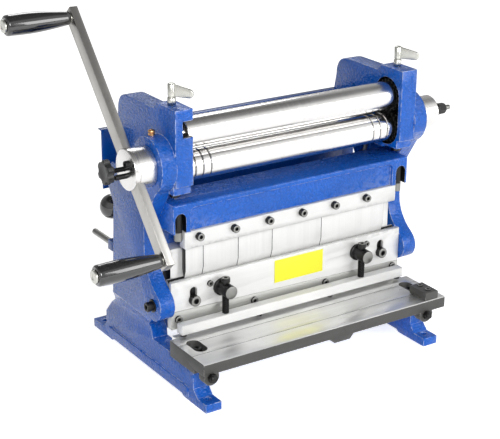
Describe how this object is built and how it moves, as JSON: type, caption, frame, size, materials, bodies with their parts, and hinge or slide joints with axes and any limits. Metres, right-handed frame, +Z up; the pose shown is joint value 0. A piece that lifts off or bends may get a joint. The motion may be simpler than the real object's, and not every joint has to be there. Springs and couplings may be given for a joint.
{
  "type": "bench slip roll, press brake and shear",
  "caption": "Hand cranked sheet metal machine for a bench: slip rolls on top, a finger press brake in the middle, and a shear with a table below, between cast side frames.",
  "frame": {"origin": "bench level, under the middle of the bounding box", "axes": "+X along the rolls from the crank side to the plain side, +Y from the operator to the rear, +Z up"},
  "size_m": [0.5764, 0.302, 0.4528],
  "materials": {
    "hammered_blue": "hammered gloss paint on cast iron",
    "sheet_blue": "smooth gloss paint on sheet",
    "ground_steel": "ground, slightly brushed",
    "polished_steel": "turned and polished",
    "black_oxide": "black oxide",
    "cast_grey": "dark grey with ground faces",
    "black_plastic": "glossy black",
    "brass": "plain",
    "yellow_plate": "plain yellow"
  },
  "bodies": {
    "frame": {"bed_casting": "hammered_blue", "finger_1": "ground_steel", "finger_2": "ground_steel", "finger_3": "ground_steel", "finger_4": "ground_steel", "finger_5": "ground_steel", "finger_clamp_bar": "ground_steel", "front_beam": "hammered_blue", "left_gauge_rod": "black_oxide", "left_nose_screw": "black_oxide", "left_oil_cup": "brass", "left_side_frame": "hammered_blue", "left_table_bolt": "black_oxide", "left_upper_block": "cast_grey", "lower_shear_blade": "polished_steel", "rear_cover": "sheet_blue", "rear_tie": "hammered_blue", "right_gauge_rod": "black_oxide", "right_nose_screw": "black_oxide", "right_oil_cup": "brass", "right_side_frame": "hammered_blue", "right_table_bolt": "black_oxide", "right_upper_block": "cast_grey", "shear_table": "cast_grey", "side_stop": "cast_grey"},
    "ram": {"ram_carrier": "ground_steel", "slotted_plate": "ground_steel", "v_die": "polished_steel", "upper_shear_blade": "polished_steel", "blank_plate": "yellow_plate", "left_hold_down_boss": "black_oxide", "right_hold_down_boss": "black_oxide"},
    "hold_down": {"hold_down_bar": "ground_steel", "left_hold_down_stud": "black_oxide", "right_hold_down_stud": "black_oxide"},
    "crank_hub": {"crank_hub": "polished_steel"},
    "crank_bar": {"crank_bar": "ground_steel"},
    "upper_grip": {"upper_grip": "black_plastic"},
    "lower_grip": {"lower_grip": "black_plastic"},
    "star_knob": {"star_knob": "black_plastic"},
    "right_hub": {"right_hub": "polished_steel", "right_stud": "black_oxide"},
    "upper_roll": {"upper_roll": "polished_steel", "upper_gear": "ground_steel"},
    "lower_blocks": {"left_lower_block": "cast_grey", "right_lower_block": "cast_grey"},
    "lower_roll": {"lower_roll": "polished_steel", "lower_gear": "ground_steel"},
    "left_roll_screw": {"left_roll_screw": "black_oxide"},
    "right_roll_screw": {"right_roll_screw": "black_oxide"},
    "rear_blocks": {"left_rear_block": "cast_grey", "right_rear_block": "cast_grey"},
    "rear_roll": {"rear_roll": "polished_steel"},
    "left_rear_screw": {"left_rear_screw": "black_oxide"},
    "right_rear_screw": {"right_rear_screw": "black_oxide"},
    "left_wing_screw": {"left_wing_screw": "ground_steel"},
    "right_wing_screw": {"right_wing_screw": "ground_steel"},
    "ball_lever": {"ball_lever": "black_plastic"},
    "gauge_bar": {"gauge_bar": "sheet_blue"}
  },
  "joints": [
    {"name": "ram_slide", "type": "slide", "parent": "frame", "child": "ram", "axis": [0, 0, 1], "range_m": [-0.0105, 0.001]},
    {"name": "hold_down_slide", "type": "slide", "parent": "ram", "child": "hold_down", "axis": [0, 0, 1], "range_m": [-0.001, 0.0105]},
    {"name": "crank_spin", "type": "hinge", "parent": "frame", "child": "crank_hub", "pos_m": [0.023, -0.039, 0.287], "axis": [1, 0, 0], "continuous": true},
    {"name": "crank_bar_slide", "type": "slide", "parent": "crank_hub", "child": "crank_bar", "axis": [0, 0.6639, 0.7478], "range_m": [-0.06, 0.06]},
    {"name": "upper_grip_spin", "type": "hinge", "parent": "crank_bar", "child": "upper_grip", "pos_m": [-0.247, 0.09611, 0.43918], "axis": [1, 0, 0], "continuous": true},
    {"name": "lower_grip_spin", "type": "hinge", "parent": "crank_bar", "child": "lower_grip", "pos_m": [-0.247, -0.11601, 0.20025], "axis": [1, 0, 0], "continuous": true},
    {"name": "star_knob_turn", "type": "hinge", "parent": "crank_hub", "child": "star_knob", "pos_m": [-0.227, -0.0345, 0.287], "axis": [1, 0, 0], "range_deg": [-20, 360]},
    {"name": "right_hub_spin", "type": "hinge", "parent": "frame", "child": "right_hub", "pos_m": [0.243, -0.039, 0.287], "axis": [1, 0, 0], "continuous": true},
    {"name": "upper_roll_spin", "type": "hinge", "parent": "frame", "child": "upper_roll", "pos_m": [0.023, -0.042, 0.3205], "axis": [1, 0, 0], "continuous": true},
    {"name": "lower_roll_lift", "type": "slide", "parent": "frame", "child": "lower_blocks", "axis": [0, 0, 1], "range_m": [-0.001, 0.001]},
    {"name": "lower_roll_spin", "type": "hinge", "parent": "lower_blocks", "child": "lower_roll", "pos_m": [0.023, -0.042, 0.2793], "axis": [1, 0, 0], "continuous": true},
    {"name": "left_roll_screw_turn", "type": "hinge", "parent": "lower_blocks", "child": "left_roll_screw", "pos_m": [-0.144, -0.05, 0.255], "axis": [0, 0, 1], "range_deg": [-361, 361]},
    {"name": "right_roll_screw_turn", "type": "hinge", "parent": "lower_blocks", "child": "right_roll_screw", "pos_m": [0.19, -0.05, 0.255], "axis": [0, 0, 1], "range_deg": [-361, 361]},
    {"name": "rear_roll_lift", "type": "slide", "parent": "frame", "child": "rear_blocks", "axis": [0, -0.2425, 0.9701], "range_m": [-0.008, 0.012]},
    {"name": "rear_roll_spin", "type": "hinge", "parent": "rear_blocks", "child": "rear_roll", "pos_m": [0.023, 0, 0.284], "axis": [1, 0, 0], "continuous": true},
    {"name": "left_rear_screw_turn", "type": "hinge", "parent": "rear_blocks", "child": "left_rear_screw", "pos_m": [-0.143, 0.00291, 0.27236], "axis": [0, -0.2425, 0.9701], "range_deg": [-2881, 4321]},
    {"name": "right_rear_screw_turn", "type": "hinge", "parent": "rear_blocks", "child": "right_rear_screw", "pos_m": [0.189, 0.00291, 0.27236], "axis": [0, -0.2425, 0.9701], "range_deg": [-2881, 4321]},
    {"name": "left_wing_screw_turn", "type": "hinge", "parent": "frame", "child": "left_wing_screw", "pos_m": [-0.144, -0.045, 0.37], "axis": [0, 0, 1], "range_deg": [-180, 180]},
    {"name": "right_wing_screw_turn", "type": "hinge", "parent": "frame", "child": "right_wing_screw", "pos_m": [0.19, -0.045, 0.37], "axis": [0, 0, 1], "range_deg": [-180, 180]},
    {"name": "ball_lever_turn", "type": "hinge", "parent": "frame", "child": "ball_lever", "pos_m": [-0.147, 0.04, 0.206], "axis": [1, 0, 0], "range_deg": [-12, 10]},
    {"name": "gauge_bar_slide", "type": "slide", "parent": "frame", "child": "gauge_bar", "axis": [0, 1, 0], "range_m": [-0.001, 0.045]}
  ],
  "couplings": [
    {"joint": "hold_down_slide", "follows": "ram_slide", "ratio": -1},
    {"joint": "right_hub_spin", "follows": "crank_spin", "ratio": 1},
    {"joint": "lower_roll_spin", "follows": "crank_spin", "ratio": 1},
    {"joint": "upper_roll_spin", "follows": "crank_spin", "ratio": -1},
    {"joint": "left_roll_screw_turn", "follows": "lower_roll_lift", "rad_per_m": 6283.2},
    {"joint": "right_roll_screw_turn", "follows": "lower_roll_lift", "rad_per_m": 6283.2},
    {"joint": "left_rear_screw_turn", "follows": "rear_roll_lift", "rad_per_m": 6283.2},
    {"joint": "right_rear_screw_turn", "follows": "rear_roll_lift", "rad_per_m": 6283.2}
  ]
}
